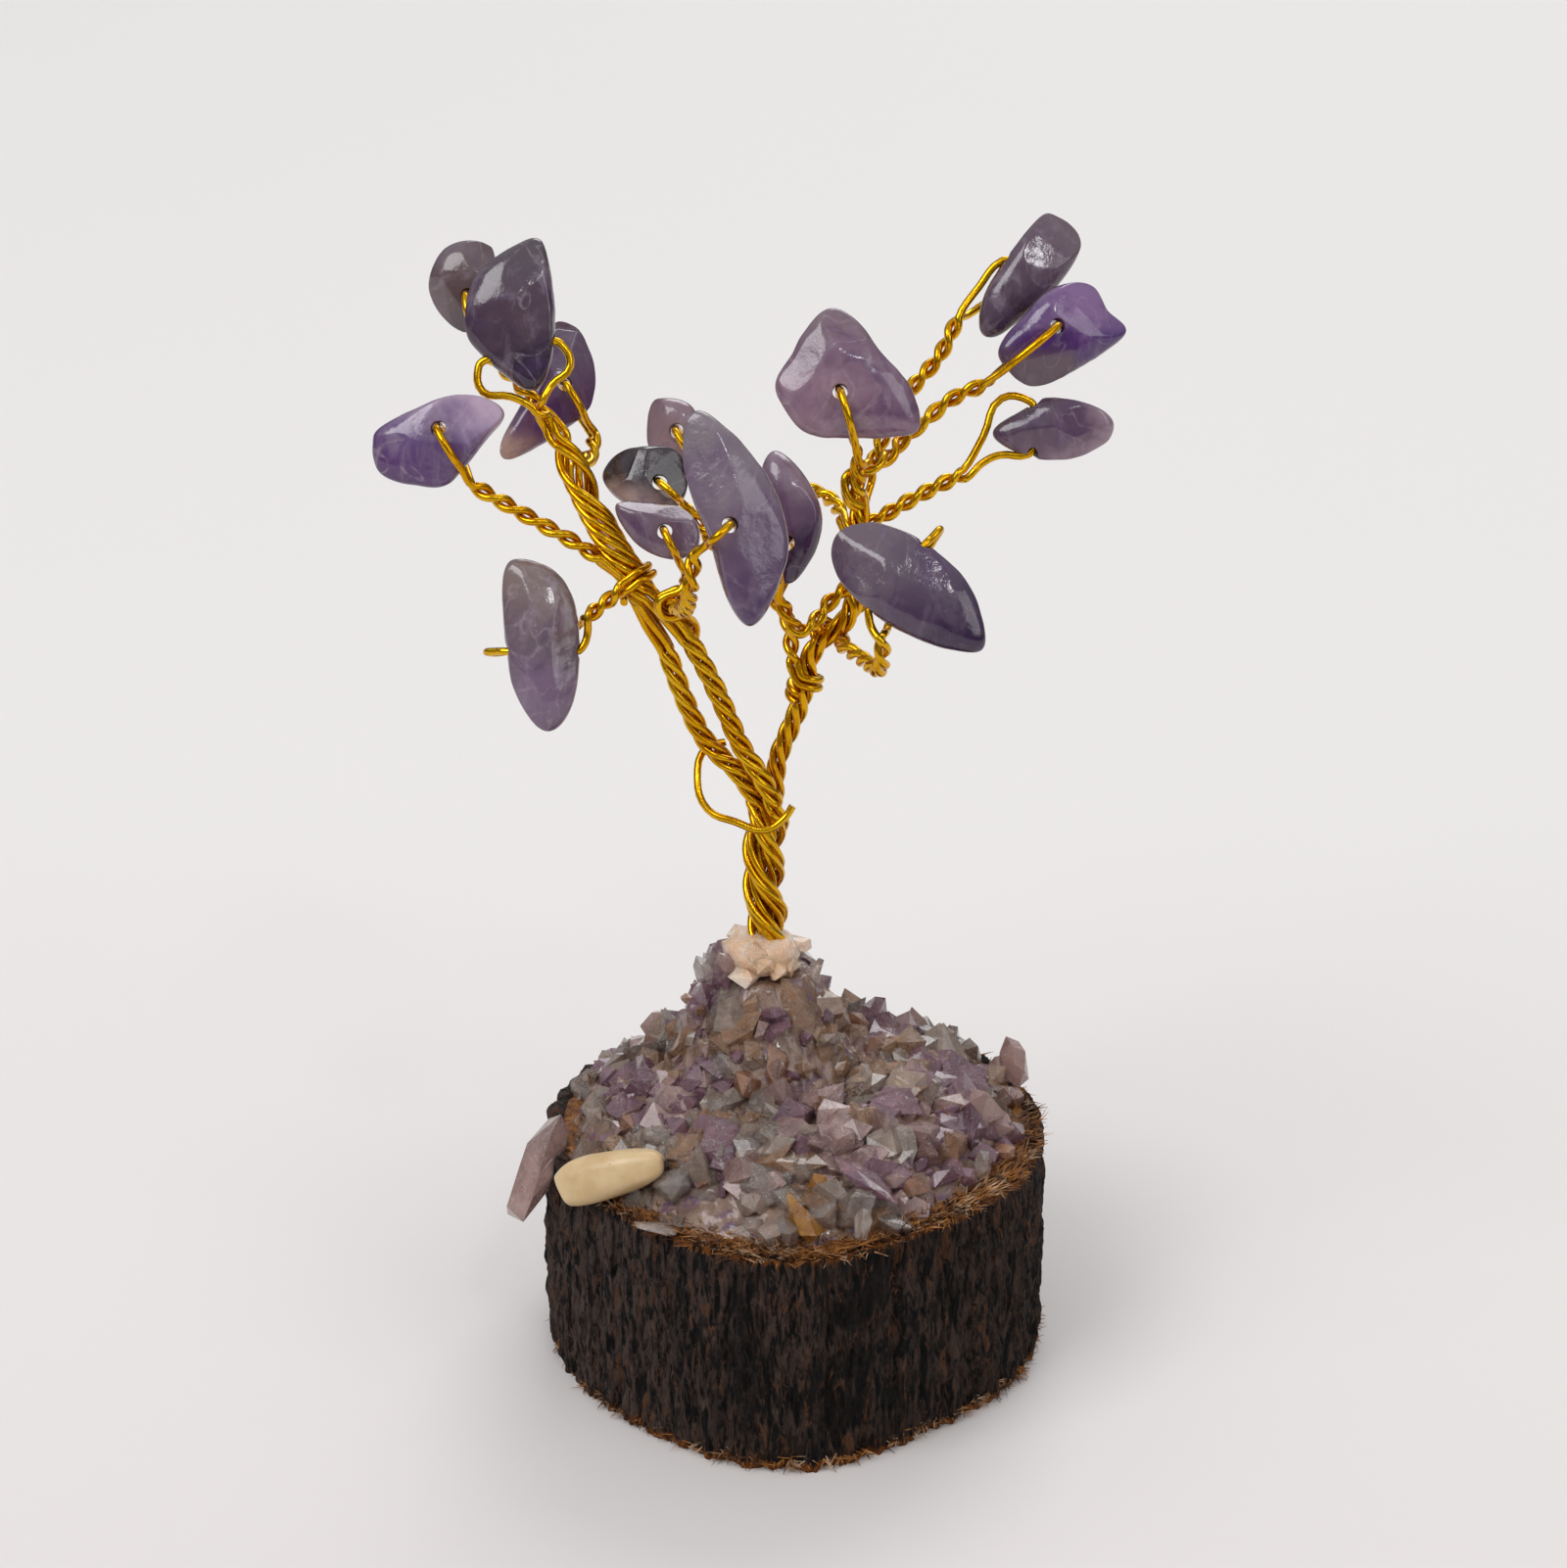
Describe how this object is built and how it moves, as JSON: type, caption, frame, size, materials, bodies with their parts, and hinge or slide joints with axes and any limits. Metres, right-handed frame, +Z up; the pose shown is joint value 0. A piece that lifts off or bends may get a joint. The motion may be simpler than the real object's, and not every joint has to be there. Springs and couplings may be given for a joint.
{
  "type": "gemstone tree ornament",
  "caption": "Twisted gold wire tree with drilled amethyst chips, standing in a mound of crushed amethyst on a slice of branch wood.",
  "frame": {"origin": "middle of the slice's flat bottom face", "axes": "+Z up, through the slice towards the crown of the tree; -Y faces the viewer of the picture; +X to the viewer's right"},
  "size_m": [0.0467, 0.0354, 0.0738],
  "materials": {
    "wood": "raw cut wood, dry",
    "bark": "dark fibrous bark",
    "clear_resin": "clear cast resin over crushed stone, glossy",
    "peach_resin": "peach-pink opaque resin, glossy",
    "crushed_amethyst": "broken crystal faces, glossy",
    "cream_stone": "opaque, satin",
    "amethyst": "tumbled and polished, translucent",
    "orange_stone": "translucent, glossy",
    "clear_stone": "clear broken quartz",
    "gold_wire": "gold-coloured craft wire, polished"
  },
  "bodies": {
    "tree": {"bark": "bark", "binding_wire": "gold_wire", "clear_flakes": "clear_stone", "cream_chip": "cream_stone", "foot_crystals": "crushed_amethyst", "large_crystal": "crushed_amethyst", "leaf_crystal": "crushed_amethyst", "orange_crystal": "orange_stone", "overhanging_crystal": "crushed_amethyst", "resin_collar": "peach_resin", "resin_mound": "clear_resin", "rim_crystals": "crushed_amethyst", "shoulder_crystals": "crushed_amethyst", "slope_crystals": "crushed_amethyst", "tall_rim_crystal": "crushed_amethyst", "wire_01": "gold_wire", "wire_02": "gold_wire", "wire_03": "gold_wire", "wire_04": "gold_wire", "wire_05": "gold_wire", "wire_06": "gold_wire", "wire_07": "gold_wire", "wire_08": "gold_wire", "wire_09": "gold_wire", "wire_10": "gold_wire", "wire_11": "gold_wire", "wire_12": "gold_wire", "wire_13": "gold_wire", "wire_14": "gold_wire", "wire_15": "gold_wire", "wood_slice": "wood"},
    "chip_01": {"chip_01": "amethyst"},
    "chip_02": {"chip_02": "amethyst"},
    "chip_03": {"chip_03": "amethyst"},
    "chip_04": {"chip_04": "amethyst"},
    "chip_05": {"chip_05": "amethyst"},
    "chip_06": {"chip_06": "amethyst"},
    "chip_07": {"chip_07": "amethyst"},
    "chip_08": {"chip_08": "amethyst"},
    "chip_09": {"chip_09": "amethyst"},
    "chip_10": {"chip_10": "amethyst"},
    "chip_11": {"chip_11": "amethyst"},
    "chip_12": {"chip_12": "amethyst"},
    "chip_13": {"chip_13": "amethyst"},
    "chip_14": {"chip_14": "amethyst"},
    "chip_15": {"chip_15": "amethyst"}
  },
  "joints": [
    {"name": "chip_01_swivel", "type": "hinge", "parent": "tree", "child": "chip_01", "pos_m": [-0.02023, 0.00765, 0.06846], "axis": [-0.1928, -0.9069, 0.3746], "range_deg": [-6, 6]},
    {"name": "chip_02_swivel", "type": "hinge", "parent": "tree", "child": "chip_02", "pos_m": [-0.01698, 0.00216, 0.06648], "axis": [0.9613, 0.1033, 0.2556], "range_deg": [-6, 6]},
    {"name": "chip_03_swivel", "type": "hinge", "parent": "tree", "child": "chip_03", "pos_m": [-0.01477, 0.01023, 0.06208], "axis": [0.129, -0.9182, 0.3746], "range_deg": [-6, 6]},
    {"name": "chip_04_swivel", "type": "hinge", "parent": "tree", "child": "chip_04", "pos_m": [-0.02172, 0.00027, 0.06202], "axis": [-0.0969, -0.9221, 0.3746], "range_deg": [-6, 6]},
    {"name": "chip_05_swivel", "type": "hinge", "parent": "tree", "child": "chip_05", "pos_m": [-0.01572, -0.00314, 0.04883], "axis": [1, 0, 0], "range_deg": [-6, 6]},
    {"name": "chip_06_swivel", "type": "hinge", "parent": "tree", "child": "chip_06", "pos_m": [-0.00754, 0.01194, 0.05851], "axis": [-0.129, -0.9182, 0.3746], "range_deg": [-6, 6]},
    {"name": "chip_07_swivel", "type": "hinge", "parent": "tree", "child": "chip_07", "pos_m": [-0.00843, 0.00291, 0.0578], "axis": [0, -0.9272, 0.3746], "range_deg": [-6, 6]},
    {"name": "chip_08_swivel", "type": "hinge", "parent": "tree", "child": "chip_08", "pos_m": [-0.00801, -0.00108, 0.05589], "axis": [0, -0.9272, 0.3746], "range_deg": [-6, 6]},
    {"name": "chip_09_swivel", "type": "hinge", "parent": "tree", "child": "chip_09", "pos_m": [-0.00395, -0.01121, 0.0595], "axis": [0.129, -0.9182, 0.3746], "range_deg": [-6, 6]},
    {"name": "chip_10_swivel", "type": "hinge", "parent": "tree", "child": "chip_10", "pos_m": [-0.00034, -0.00259, 0.05562], "axis": [-0.161, -0.9131, 0.3746], "range_deg": [-6, 6]},
    {"name": "chip_11_swivel", "type": "hinge", "parent": "tree", "child": "chip_11", "pos_m": [0.00274, -0.00045, 0.06453], "axis": [0, -0.9272, 0.3746], "range_deg": [-6, 6]},
    {"name": "chip_12_swivel", "type": "hinge", "parent": "tree", "child": "chip_12", "pos_m": [0.00607, -0.0097, 0.05589], "axis": [0.6508, 0.2066, 0.7306], "range_deg": [-6, 6]},
    {"name": "chip_13_swivel", "type": "hinge", "parent": "tree", "child": "chip_13", "pos_m": [0.01469, 0.00835, 0.06975], "axis": [0.8192, -0.2149, -0.5318], "range_deg": [-6, 6]},
    {"name": "chip_14_swivel", "type": "hinge", "parent": "tree", "child": "chip_14", "pos_m": [0.01607, 0.00511, 0.06717], "axis": [0.161, -0.9131, 0.3746], "range_deg": [-6, 6]},
    {"name": "chip_15_swivel", "type": "hinge", "parent": "tree", "child": "chip_15", "pos_m": [0.01483, 0.00298, 0.06136], "axis": [0.0349, 0.3744, 0.9266], "range_deg": [-6, 6]}
  ]
}
